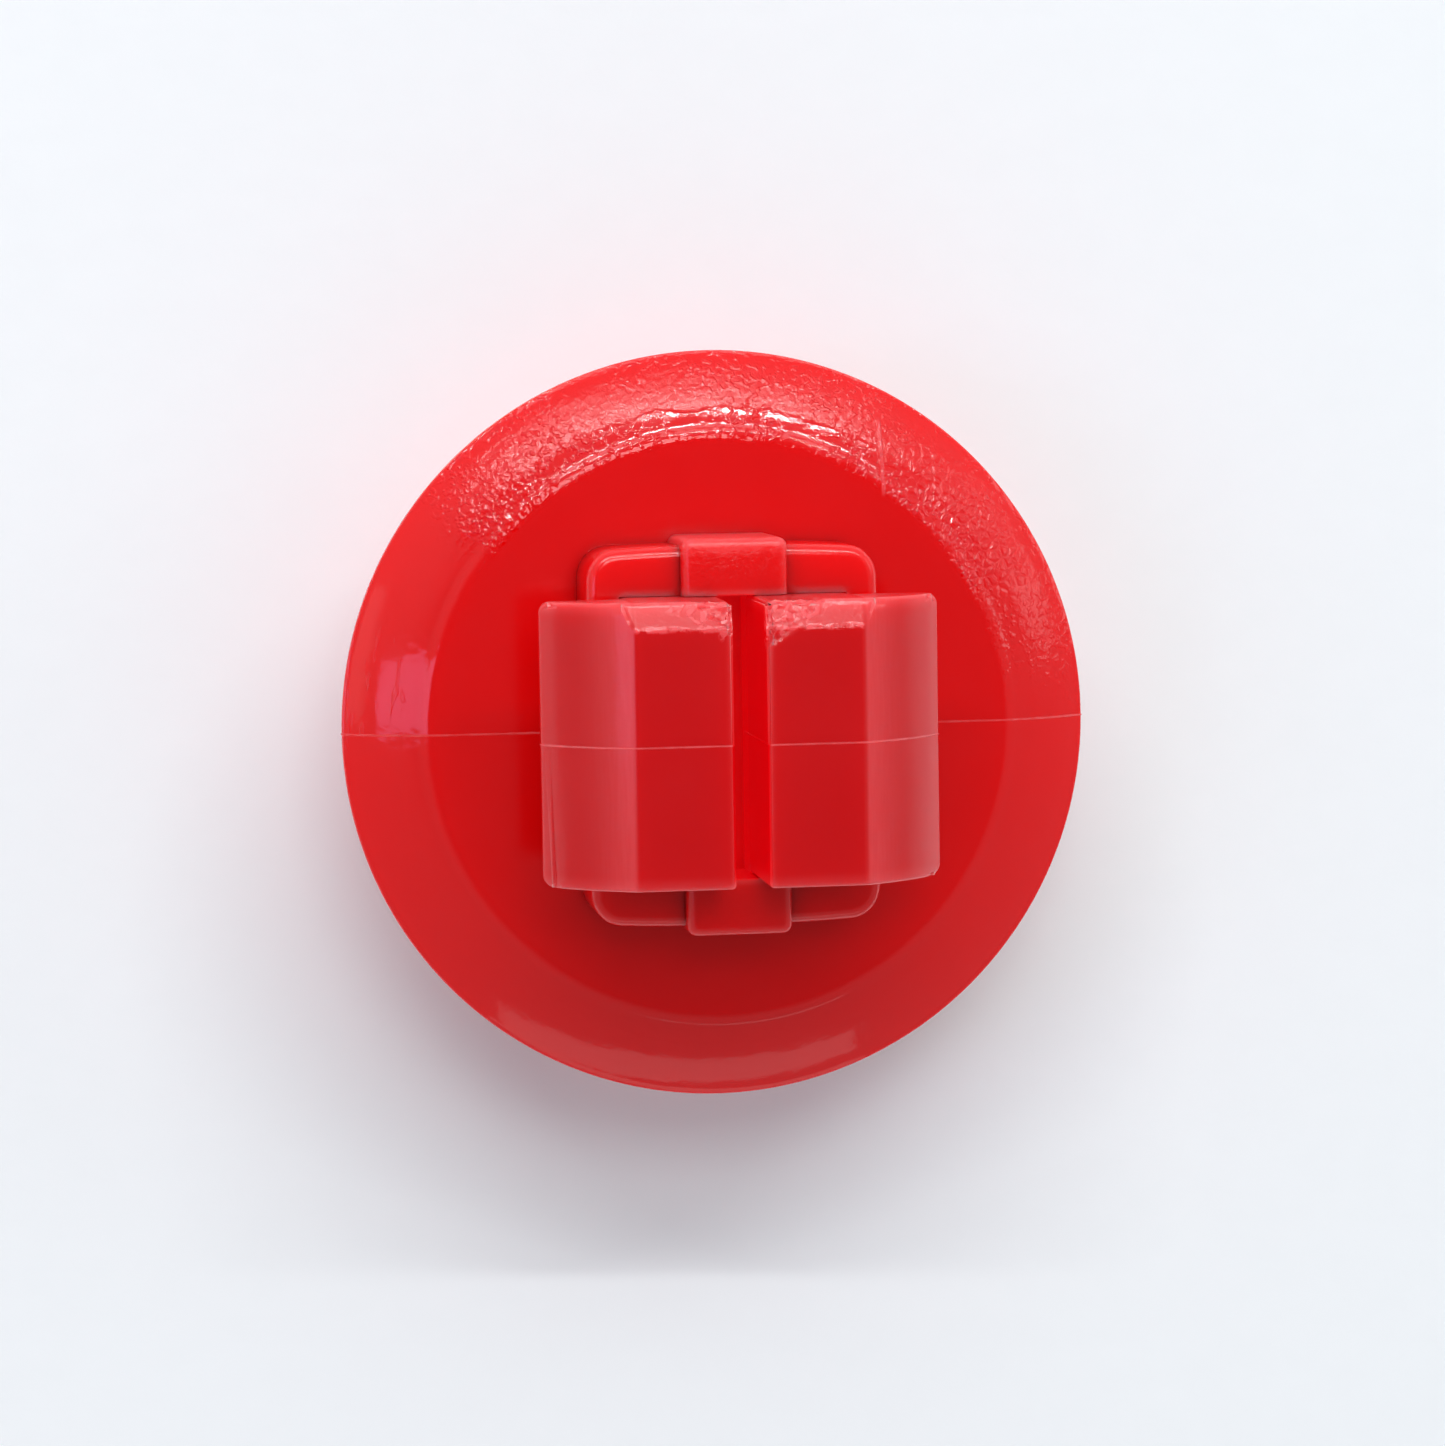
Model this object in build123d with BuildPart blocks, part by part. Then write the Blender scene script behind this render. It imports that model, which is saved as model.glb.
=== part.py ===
"""Red snap-in thumb button of a quiz buzzer: a moulding held in its case by two springy barbed legs.

Millimetres. The origin is the centre of the flange's flat seat, +Z runs up the stem to the leg tips,
X crosses the slot from leg to leg, and Y runs along the slot. The two mould halves met on Y = 0.
Each feature of the moulding is its own solid, and the solids meet face to face. Each leg turns on a
round root sunk in the guide block, which stands for the plastic that bends at the leg's foot.
"""

import os

from build123d import *

os.makedirs("parts", exist_ok=True)

# Driving dimensions: flange and thumb pad
FLANGE_RADIUS = 12.0
SEAT_RADIUS = 9.16
BEVEL_DEPTH = 1.3
BEVEL_BULGE = 0.08
RIM_LAND = 0.5
PAD_RADIUS = 9.0
PAD_HEIGHT = 7.6
PAD_CROWN = 1.2
PAD_FLAT_RADIUS = 4.5
SOCKET_DEPTH = 0.8

# Driving dimensions: guide block and its centre rib
BLOCK_WIDTH = 9.14
BLOCK_LENGTH = 12.0
BLOCK_HEIGHT = 3.05
BLOCK_END_ARCH = 0.25
BLOCK_CORNER = 0.9
RIB_WIDTH = 3.3
RIB_LENGTH = 12.36
RIB_CORNER = 0.3
POST_HEIGHT = 0.6

# Driving dimensions: legs and barbs
SLOT_WIDTH = 1.04
SLOT_FLOOR = 0.9
LEG_WIDTH = 8.78
LEG_THICKNESS = 3.03
STEM_HEIGHT = 6.6
BARB_REACH = 6.2
CATCH_HEIGHT = 3.9
NOSE_LOW = 4.06
NOSE_HIGH = 4.34

# Clearances and edge rounds
ROOT_CLEARANCE = 0.03
WELL_CLEARANCE = 0.1
SEAT_EDGE_ROUND = 0.3
RIM_ROUND = 0.12
PAD_EDGE_ROUND = 0.8
BLOCK_EDGE_ROUND = 0.22
POST_EDGE_ROUND = 0.2
TIP_END_ROUND = 0.22
TIP_SLOT_ROUND = 0.1
BARB_CORNER = 0.38

# Worked out from the driving dimensions
flange_front = -BEVEL_DEPTH - RIM_LAND
pad_face = flange_front - PAD_HEIGHT
pad_shoulder = pad_face + PAD_CROWN
slot_half = SLOT_WIDTH / 2
rib_half = RIB_WIDTH / 2
leg_half_width = LEG_WIDTH / 2
leg_outer = slot_half + LEG_THICKNESS
root_radius = LEG_THICKNESS / 2
root_centre = slot_half + root_radius
well_length = LEG_WIDTH + 2 * WELL_CLEARANCE
post_length = (RIB_LENGTH - well_length) / 2
post_centre = (RIB_LENGTH + well_length) / 4
web_top = BLOCK_HEIGHT - root_radius / 2


def save(piece, name):
    """Labels a finished piece with its node's name and writes its STEP file."""
    piece.part.label = name
    export_step(piece.part, f"parts/{name}.step")


def save_pair(right_piece, name):
    """Saves a piece of the right side, and its mirror image as the left side's piece."""
    save(right_piece, f"right_{name}")
    with BuildPart() as left_piece:
        mirror(right_piece.part, about=Plane.YZ)
    save(left_piece, f"left_{name}")


# Plan of the guide block: straight sides, gently arched ends and round corners
block_side = BLOCK_WIDTH / 2
block_end = BLOCK_LENGTH / 2
corner_end = block_end - BLOCK_END_ARCH
with BuildSketch() as block_plan:
    with BuildLine():
        ThreePointArc((-block_side, corner_end), (0, block_end), (block_side, corner_end))
        Line((block_side, corner_end), (block_side, -corner_end))
        ThreePointArc((block_side, -corner_end), (0, -block_end), (-block_side, -corner_end))
        Line((-block_side, -corner_end), (-block_side, corner_end))
    make_face()
    fillet(block_plan.vertices(), BLOCK_CORNER)

# Plan of the centre rib, a little longer than the block
with BuildSketch() as rib_plan:
    RectangleRounded(RIB_WIDTH, RIB_LENGTH, RIB_CORNER)

# The flange: a flat seat inside a shallow bevel, with a socket for the stem's foot
bevel_run = FLANGE_RADIUS - SEAT_RADIUS
bevel_length = (bevel_run**2 + BEVEL_DEPTH**2) ** 0.5
bevel_crest = (
    SEAT_RADIUS + bevel_run / 2 + BEVEL_BULGE * BEVEL_DEPTH / bevel_length,
    -BEVEL_DEPTH / 2 + BEVEL_BULGE * bevel_run / bevel_length,
)
with BuildPart() as flange:
    with BuildSketch(Plane.XZ) as flange_profile:
        with BuildLine():
            Polyline((FLANGE_RADIUS, -BEVEL_DEPTH), (FLANGE_RADIUS, flange_front), (0, flange_front))
            Polyline((0, flange_front), (0, 0), (SEAT_RADIUS, 0))
            ThreePointArc((SEAT_RADIUS, 0), bevel_crest, (FLANGE_RADIUS, -BEVEL_DEPTH))
        make_face()
        fillet(flange_profile.vertices().sort_by_distance((SEAT_RADIUS, 0))[0], SEAT_EDGE_ROUND)
        fillet(flange_profile.vertices().group_by(Axis.X)[-1], RIM_ROUND)
    revolve(axis=Axis.Z)
    with BuildSketch():
        add(block_plan.sketch)
        add(rib_plan.sketch)
    extrude(amount=-SOCKET_DEPTH, mode=Mode.SUBTRACT)
save(flange, "flange")

# The thumb pad: the round, crowned face that is struck, in front of the flange
with BuildPart() as thumb_pad:
    with BuildSketch(Plane.XZ) as pad_profile:
        with BuildLine():
            crown = TangentArc((PAD_FLAT_RADIUS, pad_face), (PAD_RADIUS, pad_shoulder), tangent=(1, 0))
            Polyline(crown @ 1, (PAD_RADIUS, flange_front), (0, flange_front), (0, pad_face), crown @ 0)
        make_face()
        fillet(pad_profile.vertices().sort_by_distance((PAD_RADIUS, pad_shoulder))[0], PAD_EDGE_ROUND)
    revolve(axis=Axis.Z)
save(thumb_pad, "thumb_pad")

# The guide block's right shoulder, beside the rib, with half of the leg root's groove
with BuildPart() as shoulder:
    with BuildSketch(Plane.XY.offset(-SOCKET_DEPTH)):
        add(block_plan.sketch)
    extrude(amount=SOCKET_DEPTH + BLOCK_HEIGHT)
    fillet(shoulder.faces().sort_by(Axis.Z)[-1].edges(), BLOCK_EDGE_ROUND)
    split(bisect_by=Plane.YZ.offset(rib_half), keep=Keep.TOP)
    with Locations((root_centre, 0, BLOCK_HEIGHT)):
        Cylinder(root_radius + ROOT_CLEARANCE, well_length, rotation=(90, 0, 0), mode=Mode.SUBTRACT)
save_pair(shoulder, "shoulder")

# The centre rib: the slot runs down it between the legs, and the leg roots turn in its grooves
with BuildPart() as centre_rib:
    with BuildSketch(Plane.XY.offset(-SOCKET_DEPTH)):
        add(rib_plan.sketch)
    extrude(amount=SOCKET_DEPTH + BLOCK_HEIGHT)
    with Locations((0, 0, SLOT_FLOOR)):
        Box(
            SLOT_WIDTH,
            well_length,
            BLOCK_HEIGHT,
            align=(Align.CENTER, Align.CENTER, Align.MIN),
            mode=Mode.SUBTRACT,
        )
    with Locations((0, 0, web_top)):
        Box(
            RIB_WIDTH,
            well_length,
            BLOCK_HEIGHT,
            align=(Align.CENTER, Align.CENTER, Align.MIN),
            mode=Mode.SUBTRACT,
        )
    with Locations((-root_centre, 0, BLOCK_HEIGHT), (root_centre, 0, BLOCK_HEIGHT)):
        Cylinder(root_radius + ROOT_CLEARANCE, well_length, rotation=(90, 0, 0), mode=Mode.SUBTRACT)
save(centre_rib, "centre_rib")

# The rib's two end posts, which stand above the block just past the ends of the legs
for post_name, side in (("front_post", -1), ("rear_post", 1)):
    with BuildPart() as post:
        with BuildSketch(Plane.XY.offset(BLOCK_HEIGHT)) as post_plan:
            with Locations((0, side * post_centre)):
                Rectangle(RIB_WIDTH, post_length)
            fillet(post_plan.vertices().group_by(Axis.Y)[-1 if side > 0 else 0], RIB_CORNER)
        extrude(amount=POST_HEIGHT)
        fillet(post.faces().sort_by(Axis.Z)[-1].edges(), POST_EDGE_ROUND)
    save(post, post_name)

# The round root at the foot of the right leg
with BuildPart() as leg_root:
    with BuildSketch(Plane.XZ):
        with BuildLine():
            Line((slot_half, BLOCK_HEIGHT), (leg_outer, BLOCK_HEIGHT))
            ThreePointArc(
                (leg_outer, BLOCK_HEIGHT),
                (root_centre, BLOCK_HEIGHT - root_radius),
                (slot_half, BLOCK_HEIGHT),
            )
        make_face()
    extrude(amount=leg_half_width, both=True)
save_pair(leg_root, "leg_root")

# The right leg: the straight half of the stem beside the slot
with BuildPart() as leg:
    with Locations((root_centre, 0, BLOCK_HEIGHT)):
        Box(
            LEG_THICKNESS,
            LEG_WIDTH,
            STEM_HEIGHT - BLOCK_HEIGHT,
            align=(Align.CENTER, Align.CENTER, Align.MIN),
        )
    tip_edges = leg.faces().sort_by(Axis.Z)[-1].edges()
    fillet(tip_edges.filter_by(Axis.X), TIP_END_ROUND)
    fillet(leg.faces().sort_by(Axis.Z)[-1].edges().sort_by(Axis.X)[0], TIP_SLOT_ROUND)
save_pair(leg, "leg")

# The right barb: a wedge with a sloping lead-in above, a blunt nose and a catch underneath
with BuildPart() as barb:
    with BuildSketch(Plane.XZ):
        with BuildLine():
            Polyline(
                (leg_outer, CATCH_HEIGHT),
                (BARB_REACH, NOSE_LOW),
                (BARB_REACH, NOSE_HIGH),
                (leg_outer, STEM_HEIGHT),
                close=True,
            )
        make_face()
    extrude(amount=leg_half_width, both=True)
    with BuildSketch(Plane.XY.offset(CATCH_HEIGHT)) as barb_plan:
        with Locations((leg_outer, 0)):
            Rectangle(BARB_REACH - leg_outer, LEG_WIDTH, align=(Align.MIN, Align.CENTER))
        fillet(barb_plan.vertices().group_by(Axis.X)[-1], BARB_CORNER)
    extrude(amount=STEM_HEIGHT - CATCH_HEIGHT, mode=Mode.INTERSECT)
save_pair(barb, "barb")
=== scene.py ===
"""Looks of the red snap-in thumb button: its pieces, its plastic, the paper it stands on and the light.

Metres, in the row frame: the flange's seat is at Z = 0 with the stem up, the slot runs along Y, and the
two mould halves met on Y = 0.
"""

import math

import bpy
from mathutils import Matrix, Vector


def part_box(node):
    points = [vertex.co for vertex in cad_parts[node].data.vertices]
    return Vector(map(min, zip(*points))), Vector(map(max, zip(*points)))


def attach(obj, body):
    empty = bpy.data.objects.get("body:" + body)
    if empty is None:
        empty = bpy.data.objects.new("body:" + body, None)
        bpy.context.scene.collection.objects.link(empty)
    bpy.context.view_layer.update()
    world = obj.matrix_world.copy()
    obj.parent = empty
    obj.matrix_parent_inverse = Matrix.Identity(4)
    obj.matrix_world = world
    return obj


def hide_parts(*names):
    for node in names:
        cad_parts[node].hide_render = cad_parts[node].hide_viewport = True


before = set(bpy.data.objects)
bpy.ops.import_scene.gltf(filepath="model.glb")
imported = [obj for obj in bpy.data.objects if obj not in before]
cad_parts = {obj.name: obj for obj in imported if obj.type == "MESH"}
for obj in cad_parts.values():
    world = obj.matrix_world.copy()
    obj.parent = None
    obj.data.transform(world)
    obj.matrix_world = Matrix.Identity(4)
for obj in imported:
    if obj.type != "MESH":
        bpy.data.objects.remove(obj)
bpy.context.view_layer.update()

MM = 0.001
FINE = 1e-7
CLOSE = 2e-6

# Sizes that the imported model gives
flange_low, flange_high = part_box("flange")
pad_low, pad_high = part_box("thumb_pad")
shoulder_low, shoulder_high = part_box("right_shoulder")
rib_low, rib_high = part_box("centre_rib")
post_low, post_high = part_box("rear_post")
leg_low, leg_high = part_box("right_leg")
barb_low, barb_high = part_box("right_barb")
root_low, root_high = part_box("right_leg_root")

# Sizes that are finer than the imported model, or inside its pieces
SEAT_RADIUS = 9.16 * MM
SEAT_EDGE_ROUND = 1.0 * MM
SEAT_EDGE_SLOPE = 31
BEVEL_DEPTH = 1.3 * MM
BEVEL_BULGE = 0.1 * MM
RIM_ROUND = 0.16 * MM
FLASH_HEIGHT = 0.03 * MM
FLASH_HALF_WIDTH = 0.035 * MM
PAD_FLAT_RADIUS = 4.5 * MM
PAD_CROWN = 1.2 * MM
PAD_EDGE_ROUND = 0.9 * MM
BLOCK_END_ARCH = 0.25 * MM
BLOCK_CORNER = 0.9 * MM
BLOCK_EDGE_ROUND = 0.36 * MM
RIB_CORNER = 0.3 * MM
RIB_EDGE_ROUND = 0.27 * MM
SLOT_FLOOR = 0.9 * MM
WELL_GAP = 0.015 * MM
ROOT_GAP = 0.02 * MM
NOSE_CORNER = 0.36 * MM
NOSE_LOW = 4.06 * MM
NOSE_HIGH = 4.34 * MM
LEG_EDGE_ROUND = 0.13 * MM
LEAD_IN_SWELL = 0.2 * MM
TIP_WEAR_LENGTH = 0.85 * MM
TIP_WEAR_DROP = 0.26 * MM
TEAR_DEPTH = 0.07 * MM
TURNED_STEPS = 240
BLOCK_END_STATIONS = 12
LEAD_IN_STATIONS = 9
TEAR_COLUMNS = 20
TEAR_ROWS = 12
KNIT_LINE_X = 5.32 * MM
LIGHT_DISTANCE = 0.5

# ---------------------------------------------------------------- modelling helpers


def clear_selection():
    """Leaves edit mode and deselects everything."""
    if bpy.context.object and bpy.context.object.mode != "OBJECT":
        bpy.ops.object.mode_set(mode="OBJECT")
    bpy.ops.object.select_all(action="DESELECT")


def begin(name):
    """Names the primitive that was just added."""
    piece = bpy.context.object
    piece.name = name
    piece.data.name = name
    return piece


def add_box(name, low, high):
    """Adds a box between two corners, with its place in its mesh."""
    clear_selection()
    middle = (Vector(low) + Vector(high)) / 2
    size = Vector(high) - Vector(low)
    bpy.ops.mesh.primitive_cube_add(size=1, location=middle, scale=size)
    bpy.ops.object.transform_apply(location=True, rotation=True, scale=True)
    return begin(name)


def edit(piece):
    """Makes the piece active and enters edit mode with nothing selected."""
    clear_selection()
    bpy.context.view_layer.objects.active = piece
    piece.select_set(True)
    bpy.ops.object.mode_set(mode="EDIT")
    bpy.ops.mesh.select_all(action="DESELECT")


def pick_faces(piece, wanted):
    """In edit mode, selects the faces whose centre and normal pass the test."""
    bpy.ops.object.mode_set(mode="EDIT")
    bpy.ops.mesh.select_mode(type="FACE")
    bpy.ops.mesh.select_all(action="DESELECT")
    bpy.ops.object.mode_set(mode="OBJECT")
    for face in piece.data.polygons:
        face.select = wanted(face.center, face.normal)
    bpy.ops.object.mode_set(mode="EDIT")


def pick_edges(piece, wanted):
    """In edit mode, selects the edges whose two ends pass the test."""
    bpy.ops.object.mode_set(mode="EDIT")
    bpy.ops.mesh.select_mode(type="EDGE")
    bpy.ops.mesh.select_all(action="DESELECT")
    bpy.ops.object.mode_set(mode="OBJECT")
    points = piece.data.vertices
    for line in piece.data.edges:
        line.select = wanted(points[line.vertices[0]].co, points[line.vertices[1]].co)
    bpy.ops.object.mode_set(mode="EDIT")


def near(a, b):
    """Whether two lengths are the same."""
    return abs(a - b) < CLOSE


def cut_across(place, normal, clear_inner=False, clear_outer=False, fill=False):
    """Bisects the whole mesh in edit mode."""
    bpy.ops.mesh.select_all(action="SELECT")
    bpy.ops.mesh.bisect(
        plane_co=place,
        plane_no=normal,
        clear_inner=clear_inner,
        clear_outer=clear_outer,
        use_fill=fill,
        threshold=FINE,
    )


def apply_modifier(piece, kind, **settings):
    """Adds a modifier, sets it and applies it."""
    clear_selection()
    bpy.context.view_layer.objects.active = piece
    piece.select_set(True)
    modifier = piece.modifiers.new(kind.title(), kind)
    for setting, value in settings.items():
        setattr(modifier, setting, value)
    bpy.ops.object.modifier_apply(modifier=modifier.name)


def round_sharp_edges(piece, width, segments=3, angle=25):
    """Rounds every edge sharper than the angle."""
    apply_modifier(
        piece,
        "BEVEL",
        width=width,
        segments=segments,
        limit_method="ANGLE",
        angle_limit=math.radians(angle),
        use_clamp_overlap=True,
    )


def subtract(piece, cutter):
    """Cuts the cutter's shape out of the piece and removes the cutter."""
    apply_modifier(piece, "BOOLEAN", object=cutter, operation="DIFFERENCE", solver="EXACT")
    bpy.data.objects.remove(cutter)


def raise_parting_line(piece):
    """Raises the thin flash that the mould's parting plane, Y = 0, leaves all round the piece."""
    edit(piece)
    for place in (-FLASH_HALF_WIDTH, FLASH_HALF_WIDTH, 0):
        cut_across((0, place, 0), (0, 1, 0))
    pick_edges(piece, lambda a, b: abs(a.y) < FINE and abs(b.y) < FINE)
    bpy.ops.transform.shrink_fatten(value=FLASH_HEIGHT)
    bpy.ops.object.mode_set(mode="OBJECT")


def finish_surface(piece, angle=32):
    """Merges doubles, points the faces outwards and smooths all but the sharp edges."""
    edit(piece)
    bpy.ops.mesh.select_all(action="SELECT")
    bpy.ops.mesh.remove_doubles(threshold=FINE)
    bpy.ops.mesh.normals_make_consistent(inside=False)
    bpy.ops.object.mode_set(mode="OBJECT")
    bpy.ops.object.shade_smooth_by_angle(angle=math.radians(angle))


def arc(centre, radius, start, end, steps):
    """Points of an arc in the outline's plane, from one angle in degrees to another."""
    points = []
    for step in range(steps + 1):
        turn = math.radians(start + (end - start) * step / steps)
        points.append((centre[0] + radius * math.cos(turn), centre[1] + radius * math.sin(turn)))
    return points


def bulged(start, end, bulge, steps):
    """Points of a straight run that swells by the bulge at its middle."""
    run = Vector(end) - Vector(start)
    out = Vector((-run.y, run.x)).normalized()
    points = []
    for step in range(steps + 1):
        part = step / steps
        points.append(tuple(Vector(start) + run * part + out * bulge * 4 * part * (1 - part)))
    return points


def turn(name, outline):
    """Turns an outline of (radius, height) points, which starts and ends on the axis, about Z."""
    clear_selection()
    bpy.ops.mesh.primitive_plane_add(size=MM)
    piece = begin(name)
    bpy.ops.object.mode_set(mode="EDIT")
    bpy.ops.mesh.select_mode(type="VERT")
    bpy.ops.mesh.select_all(action="SELECT")
    bpy.ops.mesh.merge(type="CENTER")
    bpy.ops.transform.translate(value=(outline[0][0], 0, outline[0][1]))
    for here, there in zip(outline, outline[1:]):
        step = (there[0] - here[0], 0, there[1] - here[1])
        bpy.ops.mesh.extrude_region_move(TRANSFORM_OT_translate={"value": step})
    bpy.ops.mesh.select_all(action="SELECT")
    bpy.ops.mesh.spin(steps=TURNED_STEPS, angle=2 * math.pi, center=(0, 0, 0), axis=(0, 0, 1))
    finish_surface(piece)
    return piece


# ---------------------------------------------------------------- flange and thumb pad


def model_flange():
    """The flange: a flat seat with a fine lip, the swelling bevel, the rim and the flat front."""
    rim_radius = flange_high.x - FLASH_HEIGHT
    front = flange_low.z
    bevel_foot = -BEVEL_DEPTH
    outline = [(0, 0), (SEAT_RADIUS * 0.5, 0)]
    outline += arc((SEAT_RADIUS - 0.1 * MM, -SEAT_EDGE_ROUND), SEAT_EDGE_ROUND, 90, 90 - SEAT_EDGE_SLOPE, 10)
    outline += bulged(outline[-1], (rim_radius - RIM_ROUND * 0.6, bevel_foot), BEVEL_BULGE, 16)[1:]
    outline += arc((rim_radius - RIM_ROUND, bevel_foot - RIM_ROUND * 0.8), RIM_ROUND, 40, 0, 3)
    outline += arc((rim_radius - RIM_ROUND, front + RIM_ROUND), RIM_ROUND, 0, -90, 4)
    outline += [(pad_high.x * 0.98, front), (0, front)]
    flange = turn("flange_disc", outline)
    raise_parting_line(flange)
    finish_surface(flange)
    return flange


def model_thumb_pad():
    """The thumb pad: straight sides, a rounded shoulder and a gently crowned face."""
    radius = pad_high.x - FLASH_HEIGHT
    face = pad_low.z + FLASH_HEIGHT
    shoulder = face + PAD_CROWN
    crown_radius = ((radius - PAD_FLAT_RADIUS) ** 2 + PAD_CROWN**2) / (2 * PAD_CROWN)
    crown_angle = math.degrees(math.asin((radius - PAD_EDGE_ROUND * 0.7 - PAD_FLAT_RADIUS) / crown_radius))
    root_round = 0.25 * MM
    outline = [(0, flange_low.z), (radius + root_round, flange_low.z)]
    outline += arc((radius + root_round, flange_low.z - root_round), root_round, 90, 180, 4)[1:]
    edge_centre = (radius - PAD_EDGE_ROUND, shoulder + PAD_EDGE_ROUND * 0.6)
    outline += arc(edge_centre, PAD_EDGE_ROUND, 0, crown_angle - 90, 8)
    outline += arc((PAD_FLAT_RADIUS, face + crown_radius), crown_radius, crown_angle - 90, -90, 12)
    outline += [(0, face)]
    pad = turn("pad_cap", outline)
    raise_parting_line(pad)
    finish_surface(pad)
    return pad


# ---------------------------------------------------------------- guide block


def cut_leg_well(piece, sides):
    """Cuts the slot, and a round groove for the root of the leg on each side given."""
    well_end = leg_high.y + WELL_GAP
    slot_half = leg_low.x
    groove_radius = (root_high.x - root_low.x) / 2 + ROOT_GAP
    groove_x = (root_high.x + root_low.x) / 2
    above = leg_high.z
    slot = add_box("slot_cutter", (-slot_half, -well_end, SLOT_FLOOR), (slot_half, well_end, above))
    subtract(piece, slot)
    for side in sides:
        clear_selection()
        bpy.ops.mesh.primitive_cylinder_add(
            vertices=96,
            radius=groove_radius,
            depth=2 * well_end,
            location=(side * groove_x, 0, leg_low.z),
            rotation=(math.pi / 2, 0, 0),
        )
        bpy.ops.object.transform_apply(location=True, rotation=True, scale=True)
        subtract(piece, begin("root_cutter"))


def model_shoulder(name, side):
    """One side of the guide block: arched ends, round corners and a softly rounded top."""
    block_side = shoulder_high.x
    block_end = shoulder_high.y
    corner_end = block_end - BLOCK_END_ARCH
    top = shoulder_high.z
    shoulder = add_box(name, (-block_side, -corner_end, rib_low.z / 2), (block_side, corner_end, top))
    edit(shoulder)
    pick_edges(shoulder, lambda a, b: near(a.x, b.x) and near(a.y, b.y))
    bpy.ops.mesh.bevel(offset=BLOCK_CORNER, offset_type="OFFSET", segments=7)
    for station in range(1, BLOCK_END_STATIONS):
        across = 2 * station / BLOCK_END_STATIONS - 1
        cut_across(((block_side - BLOCK_CORNER) * across, 0, 0), (1, 0, 0))
    for end in (-1, 1):
        pick_edges(shoulder, lambda a, b: all(near(p.x, 0) and near(p.y, end * corner_end) for p in (a, b)))
        bpy.ops.transform.translate(
            value=(0, end * BLOCK_END_ARCH, 0),
            use_proportional_edit=True,
            proportional_edit_falloff="SPHERE",
            proportional_size=block_side * 1.02,
        )
    bpy.ops.object.mode_set(mode="OBJECT")
    round_sharp_edges(shoulder, BLOCK_EDGE_ROUND, segments=5, angle=40)
    edit(shoulder)
    cut_across((side * rib_high.x, 0, 0), (side, 0, 0), clear_inner=True, fill=True)
    bpy.ops.object.mode_set(mode="OBJECT")
    cut_leg_well(shoulder, [side])
    raise_parting_line(shoulder)
    finish_surface(shoulder)
    return shoulder


def model_rib():
    """The centre rib with its two raised ends, slotted and welled for the legs."""
    rib = add_box("rib_bar", (rib_low.x, rib_low.y, rib_low.z / 2), (rib_high.x, rib_high.y, post_high.z))
    edit(rib)
    pick_edges(rib, lambda a, b: near(a.x, b.x) and near(a.y, b.y))
    bpy.ops.mesh.bevel(offset=RIB_CORNER, offset_type="OFFSET", segments=5)
    bpy.ops.object.mode_set(mode="OBJECT")
    round_sharp_edges(rib, RIB_EDGE_ROUND, segments=4, angle=40)
    well_end = leg_high.y + WELL_GAP
    well_floor = leg_low.z - (leg_low.z - root_low.z) / 2
    well = add_box("well_cutter", (-4 * MM, -well_end, well_floor), (4 * MM, well_end, leg_high.z))
    subtract(rib, well)
    cut_leg_well(rib, [-1, 1])
    finish_surface(rib)
    return rib


# ---------------------------------------------------------------- legs


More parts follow.
